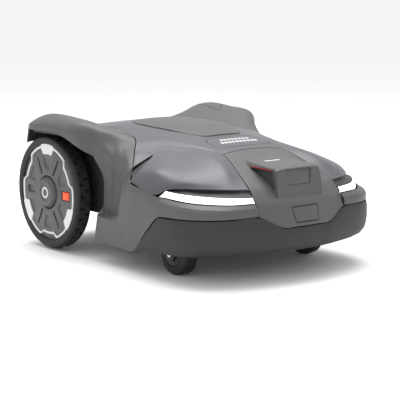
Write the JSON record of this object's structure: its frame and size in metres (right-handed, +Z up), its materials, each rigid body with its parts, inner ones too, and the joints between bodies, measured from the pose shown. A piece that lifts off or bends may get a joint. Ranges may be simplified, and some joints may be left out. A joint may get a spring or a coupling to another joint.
{
  "type": "robotic lawn mower",
  "caption": "Low robotic lawn mower with a floating body shell, covered rear wheels, front casters, a height-adjusted blade disc and a hinged control lid.",
  "frame": {"origin": "on the ground below the middle of the bounding box", "axes": "+Z up, the mower drives towards -Y, +X is the mower's left"},
  "size_m": [0.55, 0.762, 0.319],
  "materials": {
    "dark_plastic": "moulded black plastic, fine texture",
    "grey_plastic": "moulded mid grey plastic, fine texture",
    "gloss_plastic": "smooth semi-gloss blue-grey plastic",
    "bumper_plastic": "very dark matte plastic",
    "tyre_rubber": "black rubber",
    "wheel_plastic": "moulded grey plastic",
    "silver_trim": "silver lacquered plastic",
    "orange_plastic": "orange plastic",
    "steel": "turned steel",
    "blade_steel": "ground blade steel",
    "motor_metal": "grey motor can",
    "battery_wrap": "blue shrink wrap",
    "circuit_board": "green solder mask",
    "contact_metal": "plated contact strip",
    "lamp_lens": "white diffusing lens",
    "soft_rubber": "black soft rubber",
    "stop_red": "red plastic",
    "key_rubber": "grey silicone key",
    "display_glass": "black display window"
  },
  "bodies": {
    "chassis": {"chassis_tub": "dark_plastic", "chassis_lid": "dark_plastic", "chassis_screws": "steel", "charging_contacts": "contact_metal", "battery_packs": "battery_wrap", "battery_cover": "dark_plastic", "main_circuit_board": "circuit_board", "drive_motors": "motor_metal", "height_motor": "motor_metal", "bellows": "soft_rubber", "joystick_bases": "dark_plastic"},
    "cutting_height": {"cutting_carriage": "dark_plastic", "cutting_motor": "motor_metal"},
    "lead_screw": {"lead_screw": "steel"},
    "cutter": {"cutter_shaft": "steel", "blade_disc": "dark_plastic", "blade_screws": "steel"},
    "blade_1": {"blade_1": "blade_steel"},
    "blade_2": {"blade_2": "blade_steel"},
    "blade_3": {"blade_3": "blade_steel"},
    "skid_plate": {"skid_plate": "dark_plastic"},
    "float_sleeves": {"joystick_sleeves": "dark_plastic"},
    "float_posts": {"joystick_posts": "dark_plastic"},
    "shell": {"body_skirt": "grey_plastic", "front_bumper": "bumper_plastic", "hood": "gloss_plastic", "nose_panel": "grey_plastic", "nose_covers": "grey_plastic", "front_circuit_boards": "circuit_board", "headlight_lenses": "lamp_lens", "badge_plate": "gloss_plastic", "lid_hinge_pin": "steel", "shell_frame": "dark_plastic", "control_tray": "dark_plastic", "display_module": "display_glass", "stop_spring": "steel", "fender_lids": "grey_plastic"},
    "lid": {"control_lid": "grey_plastic"},
    "stop": {"stop_button": "stop_red"},
    "start": {"start_button": "key_rubber"},
    "park": {"park_button": "key_rubber"},
    "power": {"power_switch": "dark_plastic"},
    "rear_wheel_right": {"rear_tyre_right": "tyre_rubber", "wheel_rim_right": "wheel_plastic", "trim_ring_right": "silver_trim", "hub_cap_right": "wheel_plastic", "lock_tab_right": "orange_plastic", "drive_shaft_right": "steel"},
    "caster_right": {"caster_fork_right": "dark_plastic", "caster_axle_right": "steel"},
    "caster_wheel_right": {"caster_wheel_right": "tyre_rubber"},
    "rear_wheel_left": {"rear_tyre_left": "tyre_rubber", "wheel_rim_left": "wheel_plastic", "trim_ring_left": "silver_trim", "hub_cap_left": "wheel_plastic", "lock_tab_left": "orange_plastic", "drive_shaft_left": "steel"},
    "caster_left": {"caster_fork_left": "dark_plastic", "caster_axle_left": "steel"},
    "caster_wheel_left": {"caster_wheel_left": "tyre_rubber"}
  },
  "joints": [
    {"name": "rear_wheel_spin_right", "type": "hinge", "parent": "chassis", "child": "rear_wheel_right", "pos_m": [-0.24, 0.244, 0.135], "axis": [1, 0, 0], "continuous": true},
    {"name": "caster_swivel_right", "type": "hinge", "parent": "chassis", "child": "caster_right", "pos_m": [-0.183, -0.18, 0.13], "axis": [0, 0, 1], "continuous": true},
    {"name": "caster_roll_right", "type": "hinge", "parent": "caster_right", "child": "caster_wheel_right", "pos_m": [-0.183, -0.165, 0.048], "axis": [1, 0, 0], "continuous": true},
    {"name": "rear_wheel_spin_left", "type": "hinge", "parent": "chassis", "child": "rear_wheel_left", "pos_m": [0.24, 0.244, 0.135], "axis": [1, 0, 0], "continuous": true},
    {"name": "caster_swivel_left", "type": "hinge", "parent": "chassis", "child": "caster_left", "pos_m": [0.183, -0.18, 0.13], "axis": [0, 0, 1], "continuous": true},
    {"name": "caster_roll_left", "type": "hinge", "parent": "caster_left", "child": "caster_wheel_left", "pos_m": [0.183, -0.165, 0.048], "axis": [1, 0, 0], "continuous": true},
    {"name": "cutting_height_slide", "type": "slide", "parent": "chassis", "child": "cutting_height", "axis": [0, 0, 1], "range_m": [-0.04, 0], "deforming": ["bellows"]},
    {"name": "lead_screw_turn", "type": "hinge", "parent": "chassis", "child": "lead_screw", "pos_m": [0.062, 0.03, 0.15], "axis": [0, 0, 1], "range_deg": [-1810, 10]},
    {"name": "blade_disc_spin", "type": "hinge", "parent": "cutting_height", "child": "cutter", "pos_m": [0, 0.03, 0.058], "axis": [0, 0, 1], "continuous": true},
    {"name": "blade_1_swing", "type": "hinge", "parent": "cutter", "child": "blade_1", "pos_m": [0, 0.11, 0.0559], "axis": [0, 0, 1], "continuous": true},
    {"name": "blade_2_swing", "type": "hinge", "parent": "cutter", "child": "blade_2", "pos_m": [0.06928, -0.01, 0.0559], "axis": [0, 0, 1], "continuous": true},
    {"name": "blade_3_swing", "type": "hinge", "parent": "cutter", "child": "blade_3", "pos_m": [-0.06928, -0.01, 0.0559], "axis": [0, 0, 1], "continuous": true},
    {"name": "skid_plate_spin", "type": "hinge", "parent": "cutter", "child": "skid_plate", "pos_m": [0, 0.03, 0.049], "axis": [0, 0, 1], "continuous": true},
    {"name": "shell_shift_y", "type": "slide", "parent": "chassis", "child": "float_sleeves", "axis": [0, 1, 0], "range_m": [-0.005, 0.005], "stiffness_N_per_m": 4000},
    {"name": "shell_shift_x", "type": "slide", "parent": "float_sleeves", "child": "float_posts", "axis": [1, 0, 0], "range_m": [-0.005, 0.005], "stiffness_N_per_m": 4000},
    {"name": "shell_lift", "type": "slide", "parent": "float_posts", "child": "shell", "axis": [0, 0, 1], "range_m": [0, 0.008]},
    {"name": "lid_hinge", "type": "hinge", "parent": "shell", "child": "lid", "pos_m": [0, -0.085, 0.28321], "axis": [1, 0, 0], "range_deg": [0, 75]},
    {"name": "stop_press", "type": "slide", "parent": "shell", "child": "stop", "axis": [0, 0, -1], "range_m": [0, 0.004], "stiffness_N_per_m": 3000, "deforming": ["stop_spring"]},
    {"name": "start_press", "type": "slide", "parent": "shell", "child": "start", "axis": [0, 0, -1], "range_m": [0, 0.0015], "stiffness_N_per_m": 1500},
    {"name": "park_press", "type": "slide", "parent": "shell", "child": "park", "axis": [0, 0, -1], "range_m": [0, 0.0015], "stiffness_N_per_m": 1500},
    {"name": "power_switch_rock", "type": "hinge", "parent": "shell", "child": "power", "pos_m": [0.034, 0.12, 0.2524], "axis": [1, 0, 0], "range_deg": [-8, 8]}
  ],
  "couplings": [
    {"joint": "lead_screw_turn", "follows": "cutting_height_slide", "rad_per_m": 785.4}
  ]
}
